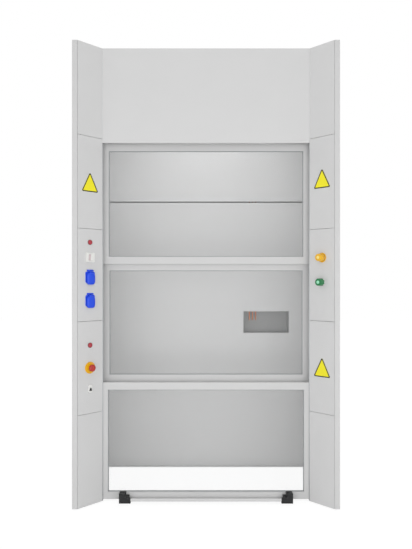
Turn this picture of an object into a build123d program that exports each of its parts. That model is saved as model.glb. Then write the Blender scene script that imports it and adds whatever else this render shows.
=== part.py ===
from build123d import *
import os
from math import atan2, cos, sin

# Walk-in fume hood, in millimetres. X runs to the right, Y to the back, Z up.
# The origin lies on the floor, in the middle of the hood's width and depth.

# Overall size
overall_width = 1500.0
overall_height = 2630.0
overall_depth = 900.0
floor_gap = 4.0

# Sheet and clearances
casing_sheet = 1.2
fascia_sheet = 1.5
liner_sheet = 1.5
baffle_sheet = 2.0
bend_radius = 2.0
fit_gap = 0.3

# Wings: a narrow front strip, then a face splayed back to the mouth
front_strip = 30.0
strip_return = 25.0
rear_return = 25.0
splay_width = 118.0
splay_depth = 118.0
fascia_count = 5
fascia_seam = 2.0
fascia_flange = 15.0
fascia_back_return = 7.0
fascia_strip_return = 18.0

# Header
header_lap = 4.0
header_flange = 5.0

# Sash tracks
track_wall = 2.0
track_drop = 106.5
track_lip = 4.0
sash_thickness = 22.0
sash_play = 1.0
sash_cover = 10.0

# Sash frames
stile_width = 41.0
rail_width = 42.0
profile_wall = 2.0
pane_thickness = 5.0
pane_groove = 9.0
pane_gap = 2.0
drain_radius = 3.0
lower_bottom = 12.0
lower_height = 678.0
middle_height = 700.0
upper_height = 705.0
sash_overlap = 5.0

# Grip on the lower sash
grip_wall = 3.0
grip_rise = 2.0
grip_back_height = 38.0
grip_reach = 44.0
grip_lip = 17.0
grip_end_seat = 10.0
grip_end_inset = 102.0
grip_end_width = 66.0
grip_end_step = 37.0
grip_end_reach = 48.0
grip_end_height = 55.0
grip_end_low = 36.0
grip_end_drop = 9.0
grip_mouth = 1.0
grip_end_round = 3.0

# Counterbalance
cable_radius = 1.5
cable_stand = 5.0
cable_room = 2.0
lug_drop = 110.0
lug_height = 30.0
pulley_radius = 38.0
pulley_flange = 3.0
pulley_rim = 14.0
pulley_drop = 46.5
hub_radius = 11.0
axle_radius = 6.0
running_gap = 0.05
bracket_wall = 3.0
bracket_width = 100.0
bracket_height = 80.0
weight_width = 84.0
weight_thickness = 20.0
weight_hang = 60.0
lower_weight_length = 500.0
middle_weight_length = 480.0
upper_weight_length = 480.0

# Frame and feet
tube = 40.0
tube_wall = 2.0
tube_base = 30.0
foot_plate = 6.0
low_rail = 60.0
middle_rail = 1280.0
foot_radius = 18.0
foot_height = 8.0
stud_radius = 6.0
stud_top = 70.0
nut_height = 10.0
nut_radius = 10.4

# Roof, ceiling, duct and lamp
roof_drop = 22.0
roof_sheet = 1.5
duct_radius = 125.0
duct_wall = 2.0
duct_height = 110.0
duct_flange = 25.0
duct_rear = 280.0
ceiling_drop = 186.5
skirt_height = 320.0
lamp_depth = 430.0
lamp_length = 1000.0
lamp_width = 150.0
lamp_height = 70.0
lamp_flange = 15.0
diffuser_thickness = 5.0

# Baffle, recess and pipes
plenum_depth = 142.6
baffle_foot = 40.0
baffle_return = 20.0
baffle_seam = 1825.0
baffle_slot = 8.0
baffle_top_slot = 40.0
window_inset = 133.3
window_width = 315.0
window_bottom = 920.0
window_height = 149.0
recess_clear = 22.6
pipe_radius = 5.0
pipe_wall = 1.0
pipe_inset = 47.0
pipe_pitch = 22.0
pipe_count = 3
pipe_bottom = 1005.0
pipe_rise = 45.0
pipe_stand = 75.0
pipe_gap = 1.0
pipe_collar_radius = 9.0
pipe_collar = 4.0

# Controls on the wings, heights of their centres
indicator_high = 1501.0
light_switch_height = 1415.0
socket_upper_height = 1302.0
socket_lower_height = 1169.0
indicator_low = 915.0
stop_height = 787.0
selector_height = 666.0
gas_height = 1414.0
water_height = 1274.0

# Sockets
socket_width = 60.0
socket_length = 66.0
socket_plate = 4.0
socket_corner = 10.0
well_radius = 19.5
well_depth = 17.0
pin_hole_radius = 2.4
pin_hole_pitch = 19.0
lid_radius = 26.0
lid_height = 12.0
lid_wall = 2.0
lid_gap = 0.5
lid_arm = 30.0
hinge_radius = 3.5
hinge_pin_radius = 1.5
hinge_rise = 5.5
hinge_ear = 6.0

# Light switch
switch_width = 56.0
switch_length = 55.0
switch_plate = 7.0
switch_wall = 2.0
switch_depth = 14.0
switch_corner = 4.0
switch_taper = 8.0
rocker_width = 30.0
rocker_length = 40.0
rocker_gap = 0.6
rocker_tilt = 5.0
rocker_body = 8.0
rocker_round = 1.5

# Emergency stop
stop_plate_radius = 29.0
stop_plate = 8.0
stop_neck_radius = 14.0
stop_neck = 10.0
stop_collar_wall = 2.0
stop_stem_radius = 6.0
stop_travel = 5.0
stop_button_radius = 20.0
stop_button_height = 15.0

# Selector switch
selector_width = 24.0
selector_length = 42.0
selector_plate = 6.0
selector_corner = 8.0
lever_width = 10.0
lever_length = 15.0
lever_reach = 11.0
lever_foot = 1.0
lever_wall = 1.5
lever_tilt = 12.0

# Indicator lamps
lamp_bezel_radius = 12.0
lamp_bezel = 4.0
lamp_lens_radius = 8.0
lamp_lens = 5.0
lamp_lens_inset = 1.0
lamp_neck = 20.0

# Remote valves
valve_plate_radius = 19.0
valve_plate = 3.0
valve_neck_radius = 10.0
valve_neck = 8.0
valve_body_radius = 13.0
valve_body_length = 45.0
spindle_radius = 4.0
spindle_depth = 16.0
knob_radius = 22.0
knob_length = 34.0
knob_flutes = 8
knob_flute_radius = 5.0
knob_taper = 3.0
knob_round = 4.0
spindle_root = 1.0

# Sashes from front to back: the lower one passes in front of the other two
LOWER, UPPER, MIDDLE = 0, 1, 2
sash_count = 3

# Places that follow from the sizes above
front_y = -overall_depth / 2
rear_y = overall_depth / 2
half_width = overall_width / 2
strip_x = half_width - front_strip
mouth_x = strip_x - splay_width
header_y = front_y + splay_depth
track_front_y = header_y + fascia_back_return
track_pitch = sash_thickness + 2 * sash_play + track_wall
track_rear_y = track_front_y + sash_count * track_pitch + track_wall
sash_x = mouth_x + sash_cover
cable_x = sash_x + cable_stand
web_x = cable_x + cable_radius + cable_room
pulley_x = cable_x + pulley_radius
weight_x = cable_x + 2 * pulley_radius
liner_x = half_width - casing_sheet - tube - liner_sheet
frame_x = half_width - casing_sheet - tube
frame_y = track_rear_y + bracket_wall
rear_face_y = rear_y - 2 * casing_sheet
roof_top = overall_height - roof_drop
roof_under = roof_top - roof_sheet
pulley_z = roof_under - pulley_drop
track_top = roof_under - track_drop
ceiling_height = roof_under - ceiling_drop
ceiling_skirt = ceiling_height - skirt_height
baffle_y = rear_face_y - plenum_depth
recess_depth = plenum_depth - recess_clear
window_left = liner_x - window_inset - window_width
lower_top = lower_bottom + lower_height
middle_bottom = lower_top - sash_overlap
middle_top = middle_bottom + middle_height
upper_bottom = middle_top - sash_overlap
upper_top = upper_bottom + upper_height
header_bottom = upper_top - header_lap
grip_end_outer = mouth_x - grip_end_inset
grip_bottom = lower_bottom + grip_rise
grip_end_bottom = lower_bottom - grip_end_drop

LEFT, RIGHT = -1, 1


def block(x0, x1, y0, y1, z0, z1):
    """A box given by its limits."""
    centre = Pos((x0 + x1) / 2, (y0 + y1) / 2, (z0 + z1) / 2)
    return centre * Box(abs(x1 - x0), abs(y1 - y0), abs(z1 - z0))


def rod(radius, height, x=0.0, y=0.0, z=0.0):
    """An upright cylinder that stands on z."""
    return Pos(x, y, z + height / 2) * Cylinder(radius, height)


def folded(points, thickness, side, bend=bend_radius):
    """The section of a folded sheet: points give one of its skins, side says where the other lies."""
    line = FilletPolyline(*points, radius=bend)
    return make_face(line.wires()[0].offset_2d(thickness, kind=Kind.ARC, side=side))


def plan_sheet(points, thickness, side, z0, z1):
    """A folded sheet with upright bends."""
    section = folded([(x, y, 0) for x, y in points], thickness, side)
    return extrude(Pos(0, 0, z0) * section, z1 - z0, dir=(0, 0, 1))


def side_sheet(points, thickness, side, x0, x1):
    """A folded sheet whose bends run along X, from points in Y and Z."""
    section = folded([(y, z, 0) for y, z in points], thickness, side)
    across = Plane(origin=(x0, 0, 0), x_dir=(0, 1, 0), z_dir=(1, 0, 0))
    return extrude(across * section, x1 - x0, dir=(1, 0, 0))


def mirrored(shape):
    """The same shape on the other side of the hood."""
    return mirror(shape, about=Plane.YZ)


def wing_plane(side, height):
    """The plane on the middle of a wing's splayed face, with its X along the face and Z out of it."""
    middle_x = side * (strip_x + mouth_x) / 2
    middle_y = (front_y + header_y) / 2
    slope = atan2(splay_depth, splay_width)
    along = Vector(cos(slope), -side * sin(slope), 0)
    out = Vector(-side * sin(slope), -cos(slope), 0)
    return Plane(origin=(middle_x, middle_y, height), x_dir=along, z_dir=out)


def sash_front(track):
    """The front face of a sash in its track."""
    return track_front_y + track_wall + sash_play + track * track_pitch


def sash_middle(track):
    """The middle plane of a sash in its track."""
    return sash_front(track) + sash_thickness / 2


# Frame and feet


def upright_centres():
    """Centres of the four uprights."""
    x = frame_x + tube / 2
    front = frame_y + tube / 2
    rear = rear_face_y - tube / 2
    return [(sx * x, y) for sx in (LEFT, RIGHT) for y in (front, rear)]


def tube_runs(inset):
    """The boxes of all the frame's tubes, drawn in by inset."""
    runs = []
    half = tube / 2 - inset
    x = frame_x + tube / 2
    front = frame_y + tube / 2
    rear = rear_face_y - tube / 2
    foot = tube_base + (foot_plate if inset else 0)
    for cx, cy in upright_centres():
        runs.append(block(cx - half, cx + half, cy - half, cy + half, foot, roof_under - inset))
    top_rail = roof_under - tube
    for level in (low_rail, middle_rail, top_rail):
        for sx in (LEFT, RIGHT):
            runs.append(
                block(sx * x - half, sx * x + half, front, rear, level + inset, level + tube - inset)
            )
    for y, level in ((front, top_rail), (rear, top_rail), (rear, low_rail)):
        runs.append(block(-x, x, y - half, y + half, level + inset, level + tube - inset))
    return runs


def steel_frame():
    frame = Part() + tube_runs(0)
    frame -= Part() + tube_runs(tube_wall)
    hole = stud_radius + fit_gap
    for cx, cy in upright_centres():
        frame -= rod(hole, 3 * foot_plate, cx, cy, tube_base - foot_plate)
    return frame


def levelling_foot(x, y):
    pad = rod(foot_radius, foot_height, x, y)
    pad = chamfer(pad.edges().group_by(Axis.Z)[-1], foot_height / 4)
    stud = rod(stud_radius, stud_top - foot_height, x, y, foot_height)
    nut = extrude(
        Pos(x, y, tube_base - nut_height) * RegularPolygon(nut_radius, 6), nut_height, dir=(0, 0, 1)
    )
    return pad + stud + nut


def levelling_feet():
    return [levelling_foot(x, y) for x, y in upright_centres()]


# Casing


def outer_side():
    points = [
        (strip_x, front_y + strip_return),
        (strip_x, front_y),
        (half_width, front_y),
        (half_width, rear_y),
        (half_width - rear_return, rear_y),
    ]
    return plan_sheet(points, casing_sheet, Side.LEFT, floor_gap, overall_height)


def rear_panel():
    x = half_width - bend_radius - fit_gap
    return block(-x, x, rear_face_y, rear_y - casing_sheet, floor_gap, overall_height)


def duct_y():
    return rear_y - duct_rear


def pipe_places():
    """Centres of the pipes in plan."""
    first = window_left + pipe_inset
    return [(first + i * pipe_pitch, baffle_y + pipe_stand) for i in range(pipe_count)]


def roof_panel():
    slope = atan2(splay_depth, splay_width)
    room = fascia_sheet + 2 * fit_gap
    inner = mouth_x + fascia_sheet + 2 * fit_gap
    outer = strip_x - fascia_sheet - 2 * fit_gap
    skin = room / cos(slope)
    outer_y = header_y - (outer - mouth_x) * splay_depth / splay_width + skin
    inner_y = header_y - (inner - mouth_x) * splay_depth / splay_width + skin
    side_x = half_width - casing_sheet - fit_gap
    corner_y = front_y + strip_return + fit_gap
    half = [
        (inner, track_front_y + fit_gap),
        (inner, max(inner_y, header_y - fascia_flange)),
        (outer, outer_y),
        (outer, corner_y),
        (side_x, corner_y),
        (side_x, rear_face_y - fit_gap),
    ]
    outline = half + [(-x, y) for x, y in reversed(half)]
    sheet = extrude(
        Pos(0, 0, roof_under) * make_face(Polyline(*outline, close=True)), roof_sheet, dir=(0, 0, 1)
    )
    sheet -= rod(duct_radius - duct_wall, 4 * roof_sheet, 0, duct_y(), roof_under - roof_sheet)
    for x, y in pipe_places():
        sheet -= rod(pipe_radius + pipe_gap, 4 * roof_sheet, x, y, roof_under - roof_sheet)
    return sheet


def exhaust_collar():
    flange = rod(duct_radius + duct_flange, duct_wall, 0, duct_y(), roof_top)
    neck = rod(duct_radius, duct_height, 0, duct_y(), roof_top)
    bore = rod(duct_radius - duct_wall, 2 * duct_height, 0, duct_y(), roof_top - duct_height / 2)
    return flange + neck - bore


# Wings


def fascia_tray(index):
    """One splayed tray: face, two upright returns and a flange at its top and bottom."""
    pitch = overall_height / fascia_count
    z0 = floor_gap if index == 0 else index * pitch + fascia_seam / 2
    z1 = overall_height if index == fascia_count - 1 else (index + 1) * pitch - fascia_seam / 2
    edge = strip_x - fit_gap
    edge_y = front_y + fit_gap * splay_depth / splay_width
    points = [
        (edge, edge_y + fascia_strip_return),
        (edge, edge_y),
        (mouth_x, header_y),
        (mouth_x, track_front_y),
    ]
    skin = plan_sheet(points, fascia_sheet, Side.RIGHT, z0, z1)
    slope = atan2(splay_depth, splay_width)
    lap = fascia_sheet / 2 / cos(slope)
    run = (edge - mouth_x) - 2 * fascia_flange
    start = (mouth_x + fascia_flange, header_y - fascia_flange * splay_depth / splay_width)
    flange_points = [
        (start[0], start[1] + lap),
        (start[0] + run, start[1] - run * splay_depth / splay_width + lap),
        (start[0] + run, start[1] - run * splay_depth / splay_width + lap + fascia_flange),
        (start[0], start[1] + lap + fascia_flange),
    ]
    flange = make_face(Polyline(*flange_points, close=True))
    low = extrude(Pos(0, 0, z0) * flange, fascia_sheet, dir=(0, 0, 1))
    high = extrude(Pos(0, 0, z1 - fascia_sheet) * flange, fascia_sheet, dir=(0, 0, 1))
    return skin + low + high


def wing_cuts(side):
    """What passes through a wing's trays."""
    if side == RIGHT:
        holes = [(gas_height, valve_body_radius), (water_height, valve_body_radius)]
        boxes = []
    else:
        holes = [
            (indicator_high, lamp_lens_radius),
            (indicator_low, lamp_lens_radius),
            (socket_upper_height, well_radius + lid_wall),
            (socket_lower_height, well_radius + lid_wall),
            (stop_height, stop_neck_radius),
        ]
        boxes = [
            (light_switch_height, rocker_width + 2 * switch_wall, rocker_length + 2 * switch_wall),
            (selector_height, lever_width, lever_length),
        ]
    deep = 8 * fascia_sheet
    cuts = []
    for height, radius in holes:
        cuts.append(wing_plane(side, height) * Cylinder(radius + fit_gap, deep))
    for height, width, length in boxes:
        cut = Box(width + 2 * fit_gap, length + 2 * fit_gap, deep)
        cuts.append(wing_plane(side, height) * cut)
    return cuts


def fascia(side):
    trays = [fascia_tray(i) for i in range(fascia_count)]
    if side == LEFT:
        trays = [mirrored(tray) for tray in trays]
    cuts = Part() + wing_cuts(side)
    return [tray - cuts for tray in trays]


def header_panel():
    """A tray: face, side returns back to the tracks, and short flanges at its top and bottom."""
    x = mouth_x - fit_gap
    shell = block(-x, x, header_y, track_front_y, header_bottom, overall_height)
    room = block(
        -x + fascia_sheet,
        x - fascia_sheet,
        header_y + fascia_sheet,
        track_front_y + fascia_sheet,
        header_bottom + fascia_sheet,
        overall_height - fascia_sheet,
    )
    trim_y = header_y + header_flange
    inner_x = x - fascia_sheet
    past = 2 * fascia_sheet
    trim = block(
        -inner_x, inner_x, trim_y, track_front_y + past, header_bottom - past, overall_height + past
    )
    return shell - room - trim


# Chamber


def liner():
    seen_y = track_rear_y + liner_sheet
    points = [(mouth_x + track_lip, seen_y), (liner_x, seen_y), (liner_x, rear_face_y - tube - fit_gap)]
    return plan_sheet(points, liner_sheet, Side.RIGHT, floor_gap, ceiling_height)


def ceiling_panel():
    front = track_rear_y + liner_sheet + fit_gap
    top = ceiling_height + liner_sheet
    points = [(front, ceiling_skirt), (front, top), (baffle_y, top)]
    x = liner_x - bend_radius - fit_gap
    sheet = side_sheet(points, liner_sheet, Side.RIGHT, -x, x)
    y = front_y + lamp_depth
    window = block(
        -lamp_length / 2,
        lamp_length / 2,
        y - lamp_width / 2,
        y + lamp_width / 2,
        ceiling_height - liner_sheet,
        top + liner_sheet,
    )
    return sheet - window


def luminaire_housing():
    y = front_y + lamp_depth
    z = ceiling_height + liner_sheet
    x = lamp_length / 2
    half = lamp_width / 2
    wall = casing_sheet
    flange = block(
        -x - lamp_flange,
        x + lamp_flange,
        y - half - lamp_flange,
        y + half + lamp_flange,
        z,
        z + wall,
    )
    shell = block(-x, x, y - half, y + half, z, z + lamp_height)
    room = block(
        -x + wall, x - wall, y - half + wall, y + half - wall, z - wall, z + lamp_height - wall
    )
    return flange + shell - room


def luminaire_diffuser():
    y = front_y + lamp_depth
    x = lamp_length / 2 - fit_gap
    half = lamp_width / 2 - fit_gap
    top = ceiling_height + liner_sheet
    pane = block(-x, x, y - half, y + half, top - diffuser_thickness, top)
    pane = chamfer(pane.edges().group_by(Axis.Z)[0], diffuser_thickness / 3)
    return pane


def baffle_returns(z0, z1):
    """The side returns by which a baffle panel is fixed to the liners."""
    x = liner_x - fit_gap
    y = baffle_y + baffle_sheet / 2
    return [
        block(sx * x, sx * (x - baffle_sheet), y, baffle_y + baffle_return, z0, z1)
        for sx in (LEFT, RIGHT)
    ]


def baffle_lower():
    foot_top = floor_gap + baffle_sheet
    top = baffle_seam - baffle_slot / 2
    points = [(baffle_y - baffle_foot, foot_top), (baffle_y, foot_top), (baffle_y, top)]
    x = liner_x - fit_gap
    sheet = side_sheet(points, baffle_sheet, Side.RIGHT, -x, x)
    sheet += baffle_returns(foot_top + 2 * bend_radius, top)
    window = block(
        window_left,
        window_left + window_width,
        baffle_y - baffle_sheet,
        baffle_y + 2 * baffle_sheet,
        window_bottom,
        window_bottom + window_height,
    )
    return sheet - window


def baffle_upper():
    z0 = baffle_seam + baffle_slot / 2
    z1 = ceiling_height - baffle_top_slot
    x = liner_x - fit_gap
    sheet = block(-x, x, baffle_y, baffle_y + baffle_sheet, z0, z1)
    return sheet + baffle_returns(z0, z1)


def service_box():
    """The recess behind the baffle's window: five walls and a flange on the baffle's back."""
    wall = liner_sheet
    y0 = baffle_y + baffle_sheet
    y1 = baffle_y + recess_depth
    x0 = window_left
    x1 = window_left + window_width
    z0 = window_bottom
    z1 = window_bottom + window_height
    shell = block(x0 - wall, x1 + wall, y0, y1, z0 - wall, z1 + wall)
    rim = block(
        x0 - lamp_flange, x1 + lamp_flange, y0, y0 + wall, z0 - lamp_flange, z1 + lamp_flange
    )
    room = block(x0, x1, y0 - wall, y1 - wall, z0, z1)
    box = shell + rim - room
    for x, y in pipe_places():
        box -= rod(pipe_radius + pipe_gap, 4 * wall, x, y, z1 - wall)
    return box


def service_pipe(x, y):
    """A pipe with a capped lower end, and a collar that carries it on the roof."""
    top = roof_top + pipe_rise
    pipe = rod(pipe_radius, top - pipe_bottom, x, y, pipe_bottom)
    cap = rod(pipe_radius + pipe_gap / 2, 2 * pipe_radius, x, y, pipe_bottom)
    collar = rod(pipe_collar_radius, pipe_collar, x, y, roof_top)
    bore = rod(pipe_radius - pipe_wall, top, x, y, pipe_bottom + 2 * pipe_wall)
    return pipe + cap + collar - bore


def service_pipes():
    return [service_pipe(x, y) for x, y in pipe_places()]


# Sash tracks, sashes and grip


def sash_track():
    web = block(web_x, web_x + track_wall, track_front_y, track_rear_y, floor_gap, track_top)
    track = web
    for i in range(sash_count + 1):
        y = track_front_y + i * track_pitch
        inner = mouth_x - track_lip if i == 0 else mouth_x + track_lip
        track += block(inner, web_x + track_wall, y, y + track_wall, floor_gap, track_top)
    return track


def sash_frame(track, bottom, height):
    """A frame of hollow rails: outer body, chamber, pane groove, drain holes and two cable lugs."""
    y = sash_middle(track)
    half = sash_thickness / 2
    top = bottom + height
    inner_x = sash_x - stile_width
    body = block(-sash_x, sash_x, y - half, y + half, bottom, top)
    body -= block(
        -inner_x, inner_x, y - sash_thickness, y + sash_thickness, bottom + rail_width, top - rail_width
    )
    groove = pane_thickness / 2 + fit_gap / 2
    body -= block(
        -inner_x - pane_groove,
        inner_x + pane_groove,
        y - groove,
        y + groove,
        bottom + rail_width - pane_groove,
        top - rail_width + pane_groove,
    )
    wall = profile_wall
    chamber = block(
        -sash_x + wall, sash_x - wall, y - half + wall, y + half - wall, bottom + wall, top - wall
    )
    keep = pane_groove + wall
    chamber -= block(
        -inner_x - keep,
        inner_x + keep,
        y - sash_thickness,
        y + sash_thickness,
        bottom + rail_width - keep,
        top - rail_width + keep,
    )
    body -= chamber
    for sx in (LEFT, RIGHT):
        body -= rod(drain_radius, 2 * wall, sx * inner_x / 2, y, bottom - wall / 2)
    lug_top = top - lug_drop
    reach = cable_x + cable_radius + cable_room / 4
    play = sash_thickness / 2 + sash_play - fit_gap
    for sx in (LEFT, RIGHT):
        body += block(sx * sash_x, sx * reach, y - play, y + play, lug_top - lug_height, lug_top)
    return body


def sash_pane(track, bottom, height):
    y = sash_middle(track)
    x = sash_x - stile_width + pane_groove - pane_gap
    seat = rail_width - pane_groove
    half = pane_thickness / 2
    return block(-x, x, y - half, y + half, bottom + seat, bottom + height - seat - pane_gap)


def sash_grip():
    """A J-shaped extrusion on the face of the lower sash's bottom rail."""
    back = sash_front(LOWER)
    front = back - grip_reach
    low = grip_bottom
    points = [(back, low + grip_back_height), (back, low), (front, low), (front, low + grip_lip)]
    x = grip_end_outer - grip_end_width + grip_end_seat
    return side_sheet(points, grip_wall, Side.RIGHT, -x, x)


def grip_end():
    """A moulded end piece: tall outside, low where it takes the grip, with a pocket for the grip."""
    back = sash_front(LOWER)
    front = back - grip_end_reach
    x1 = grip_end_outer
    x0 = x1 - grip_end_width
    step = x1 - grip_end_step
    outline = [
        (x0, grip_end_bottom),
        (x1, grip_end_bottom),
        (x1, grip_end_bottom + grip_end_height),
        (step, grip_end_bottom + grip_end_height),
        (step, grip_end_bottom + grip_end_low),
        (x0, grip_end_bottom + grip_end_low),
    ]
    across = Plane(origin=(0, back, 0), x_dir=(1, 0, 0), z_dir=(0, -1, 0))
    piece = extrude(across * make_face(Polyline(*outline, close=True)), back - front, dir=(0, -1, 0))
    piece = fillet(piece.faces().sort_by(Axis.Y)[0].edges(), grip_end_round)
    pocket_x = x0 + grip_end_seat + fit_gap
    low = grip_bottom
    pocket = block(
        x0 - grip_mouth,
        pocket_x,
        back - grip_reach - fit_gap,
        back + grip_mouth,
        low - fit_gap,
        low + grip_back_height + fit_gap,
    )
    return piece - pocket


# Counterbalance


def pulley(track, side):
    y = sash_middle(track)
    groove = pulley_radius - cable_radius - fit_gap
    rim = pulley_radius + pulley_flange
    half = pulley_rim / 2
    web = groove - pulley_flange
    reach = track_pitch / 2 - fit_gap
    outline = [
        (axle_radius + running_gap, -reach),
        (hub_radius, -reach),
        (hub_radius, -half / 2),
        (web, -half / 2),
        (web, -half),
        (rim, -half),
        (groove, -half / 3),
        (groove, half / 3),
        (rim, half),
        (web, half),
        (web, half / 2),
        (hub_radius, half / 2),
        (hub_radius, reach),
        (axle_radius + running_gap, reach),
    ]
    section = make_face(Polyline(*[(r, 0, a) for r, a in outline], close=True))
    wheel = revolve(section, Axis.Z)
    place = Plane(origin=(side * pulley_x, y, pulley_z), x_dir=(1, 0, 0), z_dir=(0, 1, 0))
    return place * wheel


def pulley_bracket(side):
    """Two cheeks under a top web, and the axle fixed in them."""
    x = pulley_x
    half = bracket_width / 2
    rear = track_rear_y
    front = track_front_y
    top = roof_under - fit_gap
    low = top - bracket_height
    bracket = block(x - half, x + half, front, rear, top - bracket_wall, top)
    for y0 in (front - bracket_wall, rear):
        bracket += block(x - half, x + half, y0, y0 + bracket_wall, low, top)
    reach = rear - front + 2 * bracket_wall
    place = Plane(origin=(x, front - bracket_wall, pulley_z), x_dir=(1, 0, 0), z_dir=(0, 1, 0))
    bracket += place * rod(axle_radius, reach)
    return bracket if side == RIGHT else mirrored(bracket)


def sash_cable(track, top, side):
    """From the sash's lug up, half round the pulley and down to the weight."""
    y = sash_middle(track)
    lug_top = top - lug_drop
    weight_top = pulley_z - weight_hang
    up = rod(cable_radius, pulley_z - lug_top, cable_x, y, lug_top)
    down = rod(cable_radius, weight_hang, weight_x, y, weight_top)
    bend = Plane(origin=(pulley_x, y, pulley_z), x_dir=(1, 0, 0), z_dir=(0, -1, 0))
    ring = bend * Torus(pulley_radius, cable_radius)
    room = track_pitch / 2
    over = block(
        cable_x - room, weight_x + room, y - room, y + room, pulley_z, pulley_z + 2 * pulley_radius
    )
    cable = up + (ring & over) + down
    return cable if side == RIGHT else mirrored(cable)


def counterweight(track, length, side):
    y = sash_middle(track)
    top = pulley_z - weight_hang
    half_w = weight_width / 2
    half_t = weight_thickness / 2
    weight = block(weight_x - half_w, weight_x + half_w, y - half_t, y + half_t, top - length, top)
    weight = chamfer(weight.edges().filter_by(Axis.Z), half_t / 4)
    return weight if side == RIGHT else mirrored(weight)


# Controls


def socket_base(height):
    plate = extrude(RectangleRounded(socket_width, socket_length, socket_corner), socket_plate)
    cup = Pos(0, 0, -well_depth / 2) * Cylinder(well_radius + lid_wall, well_depth)
    body = plate + cup
    well = Pos(0, 0, socket_plate - well_depth / 2) * Cylinder(well_radius, well_depth)
    body -= well
    for sx in (LEFT, RIGHT):
        hole = Pos(sx * pin_hole_pitch / 2, 0, socket_plate - well_depth)
        body -= hole * Cylinder(pin_hole_radius, 2 * socket_plate)
    hinge_y = lid_arm
    for sx in (LEFT, RIGHT):
        x = sx * (hinge_ear * 1.5 + fit_gap)
        ear = Pos(x, hinge_y, socket_plate + hinge_rise) * Rot(0, 90, 0) * Cylinder(hinge_radius, hinge_ear)
        foot = Pos(x, hinge_y, socket_plate + hinge_rise / 2) * Box(hinge_ear, 2 * hinge_radius, hinge_rise)
        body += ear + foot
    pin = Pos(0, hinge_y, socket_plate + hinge_rise) * Rot(0, 90, 0)
    body += pin * Cylinder(hinge_pin_radius, 4 * hinge_ear)
    return wing_plane(LEFT, height) * body


def socket_lid(height):
    base_z = socket_plate + lid_gap
    dome = Pos(0, 0, base_z + lid_height / 2) * Cylinder(lid_radius, lid_height)
    dome = fillet(dome.edges().group_by(Axis.Z)[-1], lid_height / 3)
    room = Pos(0, 0, base_z + (lid_height - lid_wall) / 2) * Cylinder(
        lid_radius - lid_wall, lid_height - lid_wall
    )
    lid = dome - room
    width = 2 * hinge_ear
    arm_back = lid_radius - lid_wall
    arm = Pos(0, (arm_back + lid_arm) / 2, socket_plate + hinge_rise) * Box(
        width, lid_arm - arm_back, 2 * hinge_radius
    )
    knuckle = Pos(0, lid_arm, socket_plate + hinge_rise) * Rot(0, 90, 0) * Cylinder(hinge_radius, width)
    bore = Pos(0, lid_arm, socket_plate + hinge_rise) * Rot(0, 90, 0) * Cylinder(
        hinge_pin_radius + running_gap, 2 * width
    )
    lid = lid + arm + knuckle - bore
    return wing_plane(LEFT, height) * lid


def light_switch_frame():
    plate = RectangleRounded(switch_width, switch_length, switch_corner)
    body = extrude(plate, switch_plate, taper=switch_taper)
    width = rocker_width + 2 * switch_wall
    length = rocker_length + 2 * switch_wall
    body += Pos(0, 0, -switch_depth / 2) * Box(width, length, switch_depth)
    opening = Box(rocker_width + 2 * rocker_gap, rocker_length + 2 * rocker_gap, 2 * switch_depth)
    body -= Pos(0, 0, switch_wall) * opening
    return wing_plane(LEFT, light_switch_height) * body


def light_switch_rocker():
    """A paddle that tilts about a line in the plate's skin."""
    paddle = Box(rocker_width, rocker_length - 2 * rocker_gap, rocker_body)
    paddle = fillet(paddle.edges().group_by(Axis.Z)[-1], rocker_round)
    place = Pos(0, 0, switch_plate) * Rot(rocker_tilt, 0, 0) * Pos(0, 0, -rocker_body / 4)
    return wing_plane(LEFT, light_switch_height) * place * paddle


def stop_switch_base():
    plate = Pos(0, 0, stop_plate / 2) * Cylinder(stop_plate_radius, stop_plate)
    plate = chamfer(plate.edges().group_by(Axis.Z)[-1], stop_plate / 4)
    collar = Pos(0, 0, stop_plate) * Cylinder(stop_neck_radius + stop_collar_wall, stop_neck)
    neck = Pos(0, 0, -stop_neck) * Cylinder(stop_neck_radius, 2 * stop_neck)
    bore = Cylinder(stop_stem_radius + running_gap, 12 * stop_neck)
    return wing_plane(LEFT, stop_height) * (plate + collar + neck - bore)


def stop_switch_stem():
    out = stop_plate + stop_neck / 2 + stop_travel + stop_button_height / 2
    inner = -1.5 * stop_neck
    stem = Pos(0, 0, (out + inner) / 2) * Cylinder(stop_stem_radius, out - inner)
    return wing_plane(LEFT, stop_height) * stem


def stop_button():
    base = stop_plate + stop_neck / 2 + stop_travel + fit_gap
    cap = Pos(0, 0, base + stop_button_height / 2) * Cylinder(stop_button_radius, stop_button_height)
    cap = fillet(cap.edges().group_by(Axis.Z)[-1], stop_button_height / 2)
    bore_depth = stop_button_height / 2
    bore = Pos(0, 0, base + bore_depth / 2) * Cylinder(stop_stem_radius + running_gap, bore_depth)
    return wing_plane(LEFT, stop_height) * (cap - bore)


def indicator_lamp(height):
    bezel = Pos(0, 0, lamp_bezel / 2) * Cylinder(lamp_bezel_radius, lamp_bezel)
    bezel = chamfer(bezel.edges().group_by(Axis.Z)[-1], lamp_bezel / 3)
    lens = Pos(0, 0, lamp_bezel) * Cylinder(lamp_lens_radius - lamp_lens_inset, lamp_lens * 2)
    lens = fillet(lens.edges().group_by(Axis.Z)[-1], lamp_lens / 2)
    neck = Pos(0, 0, -lamp_neck / 2) * Cylinder(lamp_lens_radius, lamp_neck)
    return wing_plane(LEFT, height) * (bezel + lens + neck)


def indicator_lamps():
    return [indicator_lamp(indicator_high), indicator_lamp(indicator_low)]


def selector_switch_body():
    plate = extrude(RectangleRounded(selector_width, selector_length, selector_corner), selector_plate)
    plate = chamfer(plate.faces().sort_by(Axis.Z)[-1].edges(), selector_plate / 4)
    plate += Pos(0, 0, -selector_plate / 2) * Box(lever_width, lever_length, selector_plate)
    slot = Box(lever_width - 2 * lever_wall, lever_length - 2 * lever_wall, 2 * selector_plate)
    slot = Pos(0, 0, selector_plate + lever_wall) * slot
    return wing_plane(LEFT, selector_height) * (plate - slot)


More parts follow.
